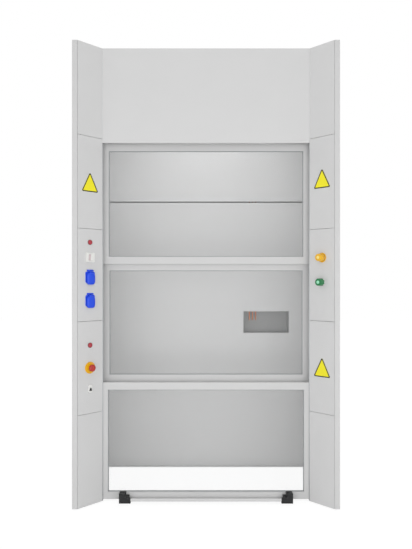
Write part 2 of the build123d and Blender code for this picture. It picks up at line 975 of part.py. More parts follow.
def selector_switch_lever():
    """A wedge that tilts about a line inside the plate."""
    base = lever_length / 3
    wedge = [(-base / 2, -lever_foot), (base / 2, -lever_foot), (base / 4, lever_reach), (-base / 4, lever_reach)]
    across = Plane(origin=(0, 0, 0), x_dir=(0, 1, 0), z_dir=(1, 0, 0))
    width = lever_width - 2 * lever_wall - 2 * rocker_gap
    lever = extrude(across * make_face(Polyline(*wedge, close=True)), width / 2, both=True)
    place = Pos(0, 0, selector_plate / 2 + lever_wall) * Rot(lever_tilt, 0, 0)
    return wing_plane(LEFT, selector_height) * place * lever


def valve_body(height):
    plate = Pos(0, 0, valve_plate / 2) * Cylinder(valve_plate_radius, valve_plate)
    plate = chamfer(plate.edges().group_by(Axis.Z)[-1], valve_plate / 3)
    neck = Pos(0, 0, valve_neck / 2) * Cylinder(valve_neck_radius, valve_neck)
    body = Pos(0, 0, -valve_body_length / 2) * Cylinder(valve_body_radius, valve_body_length)
    bore_length = spindle_depth + valve_neck
    bore = Pos(0, 0, valve_neck - bore_length / 2) * Cylinder(spindle_radius + running_gap, bore_length)
    return wing_plane(RIGHT, height) * (plate + neck + body - bore)


def valve_bodies():
    return [valve_body(gas_height), valve_body(water_height)]


def valve_knob(height):
    """A fluted knob with its spindle."""
    base = valve_neck + fit_gap
    blank = Pos(0, 0, base) * extrude(Circle(knob_radius), knob_length, taper=knob_taper)
    blank = fillet(blank.edges().group_by(Axis.Z)[-1], knob_round)
    for i in range(knob_flutes):
        turn = Rot(0, 0, i * 360 / knob_flutes)
        place = turn * Pos(knob_radius + knob_flute_radius / 2, 0, base + knob_length / 2)
        blank -= place * Cylinder(knob_flute_radius, 2 * knob_length)
    spindle_length = spindle_depth + valve_neck
    spindle = Pos(0, 0, base - spindle_length / 2 + spindle_root) * Cylinder(spindle_radius, spindle_length)
    return wing_plane(RIGHT, height) * (blank + spindle)


def made_parts():
    """Every node by its name: one solid, or a list of alike solids."""
    left_liner = mirrored(liner())
    levels = {
        "lower": (LOWER, lower_bottom, lower_height, lower_weight_length),
        "middle": (MIDDLE, middle_bottom, middle_height, middle_weight_length),
        "upper": (UPPER, upper_bottom, upper_height, upper_weight_length),
    }
    parts = {
        "steel_frame": steel_frame(),
        "levelling_feet": levelling_feet(),
        "outer_side_left": mirrored(outer_side()),
        "outer_side_right": outer_side(),
        "rear_panel": rear_panel(),
        "roof_panel": roof_panel(),
        "exhaust_collar": exhaust_collar(),
        "fascia_left": fascia(LEFT),
        "fascia_right": fascia(RIGHT),
        "header_panel": header_panel(),
        "liner_left": left_liner,
        "liner_right": liner(),
        "ceiling_panel": ceiling_panel(),
        "baffle_lower": baffle_lower(),
        "baffle_upper": baffle_upper(),
        "service_box": service_box(),
        "service_pipes": service_pipes(),
        "luminaire_housing": luminaire_housing(),
        "luminaire_diffuser": luminaire_diffuser(),
        "sash_track_left": mirrored(sash_track()),
        "sash_track_right": sash_track(),
        "pulley_bracket_left": pulley_bracket(LEFT),
        "pulley_bracket_right": pulley_bracket(RIGHT),
        "sash_grip": sash_grip(),
        "grip_end_left": mirrored(grip_end()),
        "grip_end_right": grip_end(),
        "socket_upper_base": socket_base(socket_upper_height),
        "socket_upper_lid": socket_lid(socket_upper_height),
        "socket_lower_base": socket_base(socket_lower_height),
        "socket_lower_lid": socket_lid(socket_lower_height),
        "light_switch_frame": light_switch_frame(),
        "light_switch_rocker": light_switch_rocker(),
        "stop_switch_base": stop_switch_base(),
        "stop_switch_stem": stop_switch_stem(),
        "stop_button": stop_button(),
        "indicator_lamps": indicator_lamps(),
        "selector_switch_body": selector_switch_body(),
        "selector_switch_lever": selector_switch_lever(),
        "valve_bodies": valve_bodies(),
        "gas_knob": valve_knob(gas_height),
        "water_knob": valve_knob(water_height),
    }
    for name, (track, bottom, height, weight_length) in levels.items():
        top = bottom + height
        parts[f"{name}_sash_frame"] = sash_frame(track, bottom, height)
        parts[f"{name}_sash_pane"] = sash_pane(track, bottom, height)
        parts[f"{name}_pulley_left"] = pulley(track, LEFT)
        parts[f"{name}_pulley_right"] = pulley(track, RIGHT)
        parts[f"{name}_sash_cables"] = [sash_cable(track, top, side) for side in (LEFT, RIGHT)]
        parts[f"{name}_counterweights"] = [
            counterweight(track, weight_length, side) for side in (LEFT, RIGHT)
        ]
    return parts


def main():
    os.makedirs("parts", exist_ok=True)
    for name, made in made_parts().items():
        pieces = made if isinstance(made, list) else [made]
        solids = [solid for piece in pieces for solid in piece.solids()]
        shape = solids[0] if len(solids) == 1 else Compound(children=solids)
        export_step(shape, f"parts/{name}.step")
        print(name, len(solids))


main()
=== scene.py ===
"""Walk-in fume hood: finishes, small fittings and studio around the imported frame."""
from __future__ import annotations

import logging
from dataclasses import dataclass
from enum import Enum
from math import atan2, copysign, cos, pi, radians, sin, sqrt, tau
from typing import Iterable, Sequence

import bmesh
import bpy
from mathutils import Matrix, Vector

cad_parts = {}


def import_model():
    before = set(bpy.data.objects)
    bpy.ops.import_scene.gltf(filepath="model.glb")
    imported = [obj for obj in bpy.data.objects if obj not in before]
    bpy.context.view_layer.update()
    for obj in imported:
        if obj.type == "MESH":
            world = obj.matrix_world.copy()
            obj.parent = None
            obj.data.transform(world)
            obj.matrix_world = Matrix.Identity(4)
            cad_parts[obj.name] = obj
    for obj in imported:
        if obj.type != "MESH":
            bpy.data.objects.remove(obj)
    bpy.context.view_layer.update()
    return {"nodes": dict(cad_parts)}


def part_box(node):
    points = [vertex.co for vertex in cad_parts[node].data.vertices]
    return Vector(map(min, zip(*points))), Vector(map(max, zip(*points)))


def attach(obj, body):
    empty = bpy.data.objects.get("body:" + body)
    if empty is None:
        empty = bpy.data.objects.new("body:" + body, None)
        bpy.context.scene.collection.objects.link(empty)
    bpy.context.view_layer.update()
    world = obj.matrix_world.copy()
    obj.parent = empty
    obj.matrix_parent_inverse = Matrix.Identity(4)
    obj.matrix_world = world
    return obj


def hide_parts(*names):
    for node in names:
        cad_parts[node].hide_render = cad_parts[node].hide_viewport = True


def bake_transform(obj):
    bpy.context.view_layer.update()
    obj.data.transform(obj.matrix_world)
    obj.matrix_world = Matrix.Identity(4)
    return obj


LOG = logging.getLogger("fume_hood")
SASHES = ("lower", "middle", "upper")
# Points this near to each other are one, and a smaller radius than the second is a pole
MERGE_DISTANCE = 1e-6
POLE_RADIUS = 1e-7


class Grain(Enum):
    """How a surface was made, which decides its fine relief."""

    POWDER_COAT = "powder coat"
    MOULDED = "moulded"
    BRUSHED = "brushed"
    DRAWN = "drawn"
    ZINC = "zinc"
    CLEAR = "clear"


# How a grain is drawn out: a small value on an axis makes it long there
GRAIN_STRETCH = {Grain.BRUSHED: (0.04, 1.0, 1.0), Grain.DRAWN: (1.0, 1.0, 0.03)}


class Wing(Enum):
    """The two splayed control wings."""

    LEFT = -1
    RIGHT = 1


def linear(hex_colour: str, alpha: float = 1.0) -> tuple[float, float, float, float]:
    """Turn an sRGB hex colour to linear light.

    Args:
        hex_colour: six hex digits, such as "D7D7D7".
        alpha: the fourth value.

    Returns:
        Linear red, green, blue and alpha.
    """
    parts = [int(hex_colour[i : i + 2], 16) / 255 for i in (0, 2, 4)]
    light = [p / 12.92 if p <= 0.04045 else ((p + 0.055) / 1.055) ** 2.4 for p in parts]
    return (light[0], light[1], light[2], alpha)


def add_node(
    tree: bpy.types.NodeTree, kind: str, settings: dict | None = None, **links: object
) -> bpy.types.Node:
    """Add a node with its settings, values and links.

    Args:
        tree: the node tree.
        kind: the node's type name.
        settings: attributes of the node, and values of inputs by name or number.
        links: output sockets to join, by the input's name with spaces as underscores.

    Returns:
        The new node.
    """
    node = tree.nodes.new(kind)
    for key, value in (settings or {}).items():
        if isinstance(key, str) and hasattr(node, key):
            setattr(node, key, value)
        else:
            node.inputs[key].default_value = value
    for key, source in links.items():
        name = int(key[1:]) if key[0] == "_" else key.replace("_", " ")
        tree.links.new(source, node.inputs[name])
    return node


@dataclass(frozen=True)
class Finish:
    """A surface finish: what it is made of and how it was made.

    The tint noise is a slow drift of colour across a part, the relief is the grain of the surface.
    """

    name: str
    hex_colour: str
    roughness: float
    grain: Grain = Grain.MOULDED
    metallic: float = 0.0
    ior: float = 1.5
    coat: float = 0.0
    alpha: float = 1.0
    glow: float = 0.0
    grain_mm: float = 6.0
    relief: float = 0.05
    relief_height: float = 0.0005
    drift: float = 0.03
    drift_scale: float = 3.5
    roughness_drift: float = 0.06

    def build(self) -> bpy.types.Material:
        """Make the material, or return the one made before.

        Returns:
            The material.
        """
        made = bpy.data.materials.get(self.name)
        if made:
            return made
        material = bpy.data.materials.new(self.name)
        material.use_nodes = True
        tree = material.node_tree
        tree.nodes.clear()
        out = add_node(tree, "ShaderNodeOutputMaterial")
        shader = add_node(
            tree,
            "ShaderNodeBsdfPrincipled",
            {
                "Base Color": linear(self.hex_colour),
                "Roughness": self.roughness,
                "Metallic": self.metallic,
                "Coat Weight": self.coat,
                "Alpha": self.alpha,
            },
        )
        if not self.metallic:
            shader.inputs["IOR"].default_value = self.ior
        if self.glow:
            shader.inputs["Emission Color"].default_value = linear(self.hex_colour)
            shader.inputs["Emission Strength"].default_value = self.glow
        tree.links.new(shader.outputs["BSDF"], out.inputs["Surface"])
        if self.grain is not Grain.CLEAR:
            self._colour(tree, shader)
            self._relief(tree, shader)
        return material

    def _colour(self, tree: bpy.types.NodeTree, shader: bpy.types.Node) -> None:
        """Let the colour and the roughness drift a little over about 0.3 m.

        Args:
            tree: the material's tree.
            shader: its Principled node.
        """
        place = add_node(tree, "ShaderNodeTexCoord").outputs["Object"]
        cloud = add_node(
            tree,
            "ShaderNodeTexNoise",
            {"Scale": self.drift_scale, "Detail": 3.0, "Roughness": 0.55},
            Vector=place,
        )
        low = tuple(c * (1 - self.drift) for c in linear(self.hex_colour)[:3]) + (1.0,)
        high = tuple(min(1.0, c * (1 + self.drift)) for c in linear(self.hex_colour)[:3]) + (1.0,)
        mix = add_node(
            tree, "ShaderNodeMix", {"data_type": "RGBA", 6: low, 7: high}, _0=cloud.outputs["Fac"]
        )
        tree.links.new(mix.outputs[2], shader.inputs["Base Color"])
        smoothest = max(0.02, self.roughness - self.roughness_drift)
        roughest = min(1.0, self.roughness + self.roughness_drift)
        rough = add_node(
            tree, "ShaderNodeMapRange", {"To Min": smoothest, "To Max": roughest}, Value=cloud.outputs["Fac"]
        )
        tree.links.new(rough.outputs["Result"], shader.inputs["Roughness"])

    def _relief(self, tree: bpy.types.NodeTree, shader: bpy.types.Node) -> None:
        """Add the surface's grain as bump.

        Args:
            tree: the material's tree.
            shader: its Principled node.
        """
        place = add_node(tree, "ShaderNodeTexCoord").outputs["Object"]
        scale = 1000 / self.grain_mm
        stretch = GRAIN_STRETCH.get(self.grain, (1.0, 1.0, 1.0))
        mapped = add_node(tree, "ShaderNodeMapping", {"Scale": stretch}, Vector=place)
        if self.grain is Grain.ZINC:
            pattern = add_node(
                tree, "ShaderNodeTexVoronoi", {"Scale": scale}, Vector=mapped.outputs["Vector"]
            ).outputs["Distance"]
        else:
            pattern = add_node(
                tree,
                "ShaderNodeTexNoise",
                {"Scale": scale, "Detail": 2.0},
                Vector=mapped.outputs["Vector"],
            ).outputs["Fac"]
        bump = add_node(
            tree,
            "ShaderNodeBump",
            {"Strength": self.relief, "Distance": self.relief_height},
            Height=pattern,
        )
        tree.links.new(bump.outputs["Normal"], shader.inputs["Normal"])


# Polyester powder coat on steel sheet: even light grey, satin, with a fine orange peel
CASING = Finish("powder_coat_light_grey", "D6D6D6", 0.42, Grain.POWDER_COAT, relief=0.12)
# The same coat on the side casings, whose front returns are the narrow strips, a shade darker: painted shade
# on the side casings
SIDE_SHADED = Finish("powder_coat_side", "D0D0D0", 0.42, Grain.POWDER_COAT, relief=0.12)
# The same coat on the extruded grip, smoother and a little paler than the sash frames; the paleness is
# painted light on the low grip
GRIP_LIT = Finish("powder_coat_grip", "D9D9D9", 0.38, Grain.POWDER_COAT, grain_mm=4.0)
# The same coat on the chamber's panels, a shade paler: painted light inside the chamber
CHAMBER_LIT = Finish("powder_coat_chamber", "DDDDDD", 0.5, Grain.POWDER_COAT, relief=0.12)
# Powder-coated aluminium profile, smoother than the sheet because it is extruded
PROFILE = Finish("powder_coat_profile", "CECECE", 0.38, Grain.POWDER_COAT, grain_mm=4.0)
# Anodised extrusion with faint draw lines along its length
TRACK = Finish("anodised_track", "B9BBBD", 0.4, Grain.DRAWN, metallic=0.85, grain_mm=2.0, relief=0.2)
# Toughened float glass, nearly colourless
PANE = Finish("float_glass", "EEF1F1", 0.03, Grain.CLEAR, alpha=0.05)
# Hot-dip zinc with its spangle
ZINC = Finish("galvanised_steel", "B8BBBD", 0.45, Grain.ZINC, metallic=0.9, grain_mm=14.0, relief=0.15)
# Bright zinc on small fasteners
PLATED = Finish("zinc_plated_screw", "C4C6C8", 0.28, Grain.DRAWN, metallic=1.0, grain_mm=1.0)
# Stranded galvanised wire
WIRE = Finish("stranded_wire", "9C9FA2", 0.4, Grain.BRUSHED, metallic=0.95, grain_mm=1.2, relief=0.5)
# Painted steel bar, matt with a rolled skin
WEIGHT = Finish("painted_bar", "6A6D70", 0.65, Grain.POWDER_COAT, grain_mm=9.0, relief=0.25)
# Turned nylon
NYLON = Finish("turned_nylon", "E4E2DA", 0.45, Grain.MOULDED, ior=1.53, grain_mm=2.0)
# Drawn copper pipe, lightly tarnished
COPPER = Finish("drawn_copper", "C77F5A", 0.32, Grain.DRAWN, metallic=1.0, grain_mm=1.5, drift=0.1)
# Opal acrylic in front of the lamp's tubes
OPAL = Finish("opal_acrylic", "FFFFFF", 0.35, Grain.CLEAR, ior=1.49, glow=4.2)
# Black polyamide, moulded with a fine matt texture
BLACK = Finish("black_polyamide", "1B1C1E", 0.5, Grain.MOULDED, grain_mm=1.5, relief=0.15)
# White polycarbonate switch plates
WHITE = Finish("white_polycarbonate", "EDEDEA", 0.3, Grain.MOULDED, ior=1.58, grain_mm=3.0, relief=0.03)
# Blue moulded socket
BLUE = Finish("blue_abs", "124BE8", 0.32, Grain.MOULDED, ior=1.54, grain_mm=3.0, relief=0.04)
# Glossy red moulded ABS of the stop button
RED = Finish("red_abs", "B8261A", 0.25, Grain.MOULDED, ior=1.54, coat=0.3, grain_mm=3.0, relief=0.02)
# Clear red acrylic with a faint glow: painted light for the room's light coming through it
RED_LENS_GLOW = Finish("red_lens", "AE3C46", 0.18, Grain.CLEAR, ior=1.49, glow=0.06)
# Dark red ring that holds the lens
BEZEL = Finish("lens_ring", "7E3234", 0.35, Grain.MOULDED, grain_mm=2.0, relief=0.02)
# Caps on the knobs' ends, made pale as a painted highlight on each knob's end face
CAP_HIGHLIGHT_YELLOW = Finish("cap_light_yellow", "FBE38C", 0.3, Grain.MOULDED, grain_mm=3.0, relief=0.02)
CAP_HIGHLIGHT_MINT = Finish("cap_mint", "9FE6C2", 0.3, Grain.MOULDED, grain_mm=3.0, relief=0.02)
# Pinkish window of the light switch, darker than the white paddle: a warm tint with painted shade
SWITCH_WINDOW_SHADE = Finish("switch_window", "D6C6C8", 0.2, Grain.MOULDED, grain_mm=3.0, relief=0.02)
# Grey coat inside the pipe recess, made darker than the casing as painted shade in the recess
RECESS_SHADE = Finish("powder_coat_recess", "B4B4B4", 0.6, Grain.POWDER_COAT, relief=0.12)
# Yellow moulded ABS, satin, of the stop switch, the gas knob and the rosettes
YELLOW = Finish("yellow_abs", "F2B90F", 0.35, Grain.MOULDED, ior=1.54, grain_mm=3.0, relief=0.04)
# Green moulded ABS of the water knob, glossier
GREEN = Finish("green_abs", "0E7A41", 0.3, Grain.MOULDED, ior=1.54, coat=0.2, grain_mm=3.0, relief=0.04)
# Printed film on the sign plates, its ground and its border
SIGN_YELLOW = Finish("sign_yellow_film", "FAEE1C", 0.35, Grain.MOULDED, grain_mm=8.0, relief=0.02)
SIGN_BLACK = Finish("sign_black_print", "161616", 0.4, Grain.MOULDED, grain_mm=8.0, relief=0.02)
# Grey EPDM glazing strip
GASKET = Finish("glazing_rubber", "A9ABAD", 0.7, Grain.MOULDED, grain_mm=1.5, relief=0.2)
# Rubber-soled steel foot
FOOT = Finish("foot_steel", "8B8E91", 0.4, Grain.DRAWN, metallic=0.9, grain_mm=1.0)

NODE_FINISHES: dict[str, Finish] = {
    "steel_frame": ZINC,
    "levelling_feet": FOOT,
    "exhaust_collar": ZINC,
    "liner_left": CHAMBER_LIT,
    "liner_right": CHAMBER_LIT,
    "ceiling_panel": CHAMBER_LIT,
    "baffle_lower": CHAMBER_LIT,
    "baffle_upper": CHAMBER_LIT,
    "service_box": RECESS_SHADE,
    "service_pipes": COPPER,
    "luminaire_diffuser": OPAL,
    "sash_track_left": TRACK,
    "sash_track_right": TRACK,
    "pulley_bracket_left": ZINC,
    "pulley_bracket_right": ZINC,
    "outer_side_left": SIDE_SHADED,
    "outer_side_right": SIDE_SHADED,
    "sash_grip": GRIP_LIT,
    "grip_end_left": BLACK,
    "grip_end_right": BLACK,
    "socket_upper_base": BLUE,
    "socket_upper_lid": BLUE,
    "socket_lower_base": BLUE,
    "socket_lower_lid": BLUE,
    "light_switch_frame": WHITE,
    "light_switch_rocker": WHITE,
    "stop_switch_base": YELLOW,
    "stop_switch_stem": BLACK,
    "stop_button": RED,
    "indicator_lamps": RED,
    "selector_switch_body": WHITE,
    "selector_switch_lever": BLACK,
    "valve_bodies": WHITE,
    "gas_knob": YELLOW,
    "water_knob": GREEN,
}


def finish_of(node: str) -> Finish:
    """The finish of a CAD node.

    Args:
        node: the node's name.

    Returns:
        Its finish; casing sheet where none is listed.
    """
    if node in NODE_FINISHES:
        return NODE_FINISHES[node]
    for ending, finish in (
        ("sash_frame", PROFILE),
        ("sash_pane", PANE),
        ("cables", WIRE),
        ("counterweights", WEIGHT),
        ("pulley_left", NYLON),
        ("pulley_right", NYLON),
    ):
        if node.endswith(ending):
            return finish
    return CASING


def dress_nodes(nodes: dict[str, bpy.types.Object]) -> None:
    """Give every CAD node its finish.

    Args:
        nodes: the frame's nodes by name.
    """
    for name, node in nodes.items():
        node.data.materials.clear()
        node.data.materials.append(finish_of(name).build())


def new_piece(name: str, mesh: bpy.types.Mesh, finishes: Sequence[Finish]) -> bpy.types.Object:
    """Link a mesh as an object with its finishes.

    Args:
        name: the piece's name.
        mesh: its mesh, in place.
        finishes: the finishes, in the order of the faces' material numbers.

    Returns:
        The object.
    """
    piece = bpy.data.objects.new(name, mesh)
    bpy.context.scene.collection.objects.link(piece)
    # Clearing sets every face's material number to 0, so it is only done where slots came along
    if mesh.materials:
        mesh.materials.clear()
    for finish in finishes:
        mesh.materials.append(finish.build())
    return piece


def mesh_from(name: str, build: bmesh.types.BMesh) -> bpy.types.Mesh:
    """Close a bmesh: merge doubles, point its faces outwards and turn it to a mesh.

    Args:
        name: the mesh's name.
        build: the bmesh, which is freed.

    Returns:
        The mesh.
    """
    bmesh.ops.remove_doubles(build, verts=build.verts, dist=MERGE_DISTANCE)
    bmesh.ops.recalc_face_normals(build, faces=build.faces)
    mesh = bpy.data.meshes.new(name)
    build.to_mesh(mesh)
    build.free()
    return mesh


def circle(radius: float, steps: int) -> list[tuple[float, float]]:
    """Points round a circle about the origin."""
    return [(radius * cos(tau * k / steps), radius * sin(tau * k / steps)) for k in range(steps)]


def lifted(outline: Iterable[tuple[float, float]], height: float) -> list[tuple[float, float, float]]:
    """The points of a flat outline at a height."""
    return [(x, y, height) for x, y in outline]


def add_ring(
    build: bmesh.types.BMesh, place: Matrix, points: Iterable[Sequence[float]]
) -> list[bmesh.types.BMVert]:
    """Add points to a bmesh, each taken to its place."""
    return [build.verts.new(place @ Vector(point)) for point in points]


def bridge(
    build: bmesh.types.BMesh,
    rings: Sequence[Sequence[bmesh.types.BMVert]],
    smooth: bool = False,
    capped: bool = True,
) -> None:
    """Join closed rings of equal length with faces.

    Args:
        build: the bmesh that the rings are in.
        rings: the rings, in order.
        smooth: whether the faces between the rings are smooth.
        capped: whether the first and last ring are closed with a flat face.
    """
    for low, high in zip(rings, rings[1:]):
        for k in range(len(low)):
            j = (k + 1) % len(low)
            build.faces.new((low[k], low[j], high[j], high[k])).smooth = smooth
    if capped:
        build.faces.new(rings[0])
        build.faces.new(rings[-1])


def revolve(
    build: bmesh.types.BMesh, outline: Sequence[tuple[float, float, int]], steps: int, place: Matrix
) -> None:
    """Turn an outline about Z.

    Args:
        build: the bmesh to add to.
        outline: radius, height and material number of each point, from pole to pole or closed.
        steps: the number of copies round the axis.
        place: where the result goes.
    """
    rings = []
    for radius, height, _ in outline:
        count = 1 if radius < POLE_RADIUS else steps
        rings.append(add_ring(build, place, lifted(circle(radius, count), height)))
    for low, high, (_, _, number) in zip(rings, rings[1:], outline[1:]):
        for i in range(steps):
            j = (i + 1) % steps
            if len(low) == 1:
                corners = (low[0], high[i], high[j])
            elif len(high) == 1:
                corners = (low[i], low[j], high[0])
            else:
                corners = (low[i], low[j], high[j], high[i])
            face = build.faces.new(corners)
            face.material_index = number
            face.smooth = True


@dataclass
class WingFace:
    """The middle of a wing's splayed face, which the controls sit on."""

    side: Wing
    centre_x: float = 0.661
    centre_y: float = -0.391

    def matrix(self, height: float, out: float = 0.0) -> Matrix:
        """The place of a control.

        Args:
            height: of its centre above the floor.
            out: how far it stands out of the face.

        Returns:
            A matrix whose X runs along the face, Y up and Z out of it.
        """
        sx = self.side.value
        half = sqrt(0.5)
        along = Vector((half, -sx * half, 0))
        outward = Vector((-sx * half, -half, 0))
        origin = Vector((sx * self.centre_x, self.centre_y, height)) + outward * out
        turn = Matrix((along, Vector((0, 0, 1)), outward)).transposed().to_4x4()
        return Matrix.Translation(origin) @ turn


@dataclass
class Signs:
    """Triangular yellow plates with a black border, stuck on the wings."""

    base: float = 0.112
    height: float = 0.113
    border: float = 0.006
    corner: float = 0.006
    least_corner: float = 0.002
    corner_steps: int = 6
    seat: float = 0.0001
    thickness: float = 0.0012
    plates: tuple[tuple[str, Wing, float], ...] = (
        ("sign_plate_left", Wing.LEFT, 1.845),
        ("sign_plate_right_high", Wing.RIGHT, 1.867),
        ("sign_plate_right_low", Wing.RIGHT, 0.790),
    )

    def outline(self, inset: float) -> list[tuple[float, float]]:
        """A triangle with rounded corners.

        Args:
            inset: how far its sides are drawn in.

        Returns:
            Points round it.
        """
        half, top = self.base / 2, self.height / 2
        corners = [Vector((-half, -top)), Vector((half, -top)), Vector((0, top))]
        sides = [corners[(i + 1) % 3] - corners[i] for i in range(3)]
        girth = sum(side.length for side in sides)
        centre = sum((corners[i] * sides[(i + 1) % 3].length for i in range(3)), Vector((0, 0))) / girth
        inner_radius = self.base * self.height / girth
        radius = max(self.corner - inset, self.least_corner)
        keep = 1 - (inset + radius) / inner_radius
        points = []
        for i, corner in enumerate(corners):
            middle = centre + (corner - centre) * keep
            first = atan2(-sides[i - 1].x, sides[i - 1].y)
            last = atan2(-sides[i].x, sides[i].y)
            last += tau if last < first else 0.0
            for step in range(self.corner_steps + 1):
                angle = first + (last - first) * step / self.corner_steps
                points.append((middle.x + radius * cos(angle), middle.y + radius * sin(angle)))
        return points

    def build(self) -> list[bpy.types.Object]:
        """Make the three plates.

        Returns:
            The pieces.
        """
        pieces = []
        outer, inner = self.outline(0.0), self.outline(self.border)
        for name, wing, height in self.plates:
            place = WingFace(wing).matrix(height)
            build = bmesh.new()
            foot = add_ring(build, place, lifted(outer, self.seat))
            rim = add_ring(build, place, lifted(outer, self.thickness))
            middle = add_ring(build, place, lifted(inner, self.thickness))
            build.faces.new(foot)
            for i in range(len(foot)):
                j = (i + 1) % len(foot)
                build.faces.new((foot[i], foot[j], rim[j], rim[i]))
                build.faces.new((rim[i], rim[j], middle[j], middle[i])).material_index = 1
            build.faces.new(middle)
            piece = new_piece(name, mesh_from(name, build), (SIGN_YELLOW, SIGN_BLACK))
            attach(piece, "casing")
            pieces.append(piece)
        return pieces


@dataclass
class IndicatorLamps:
    """Two signal lamps: a dark red ring round a red domed lens, with the shank behind."""

    heights: tuple[float, float] = (1.501, 0.915)
    shank_radius: float = 0.008
    shank_depth: float = 0.02
    ring_radius: float = 0.0148
    ring_edge: float = 0.002
    ring_top: float = 0.0036
    ring_chamfer: float = 0.0006
    lip_width: float = 0.0004
    lip_top: float = 0.0040
    lip_foot: float = 0.0034
    lens_radius: float = 0.0128
    lens_seat: float = 0.0035
    lens_rise: float = 0.0045
    lens_steps: int = 8
    steps: int = 40

    def build(self) -> list[bpy.types.Object]:
        """Make the lamps in place of their CAD node.

        Returns:
            The piece.
        """
        outline = [
            (0.0, -self.shank_depth, 0),
            (self.shank_radius, -self.shank_depth, 0),
            (self.shank_radius, 0.0, 0),
            (self.ring_radius, 0.0, 0),
            (self.ring_radius, self.ring_edge, 0),
            (self.ring_radius - self.ring_chamfer, self.ring_top, 0),
            (self.lens_radius + self.lip_width, self.lip_top, 0),
            (self.lens_radius, self.lip_foot, 0),
        ]
        for k in range(self.lens_steps):
            angle = radians(90) * k / self.lens_steps
            outline.append((self.lens_radius * cos(angle), self.lens_seat + self.lens_rise * sin(angle), 1))
        outline.append((0.0, self.lens_seat + self.lens_rise, 1))
        build = bmesh.new()
        for height in self.heights:
            revolve(build, outline, self.steps, WingFace(Wing.LEFT).matrix(height))
        piece = new_piece("signal_lamps", mesh_from("signal_lamps", build), (BEZEL, RED_LENS_GLOW))
        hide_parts("indicator_lamps")
        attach(piece, "casing")
        return [piece]


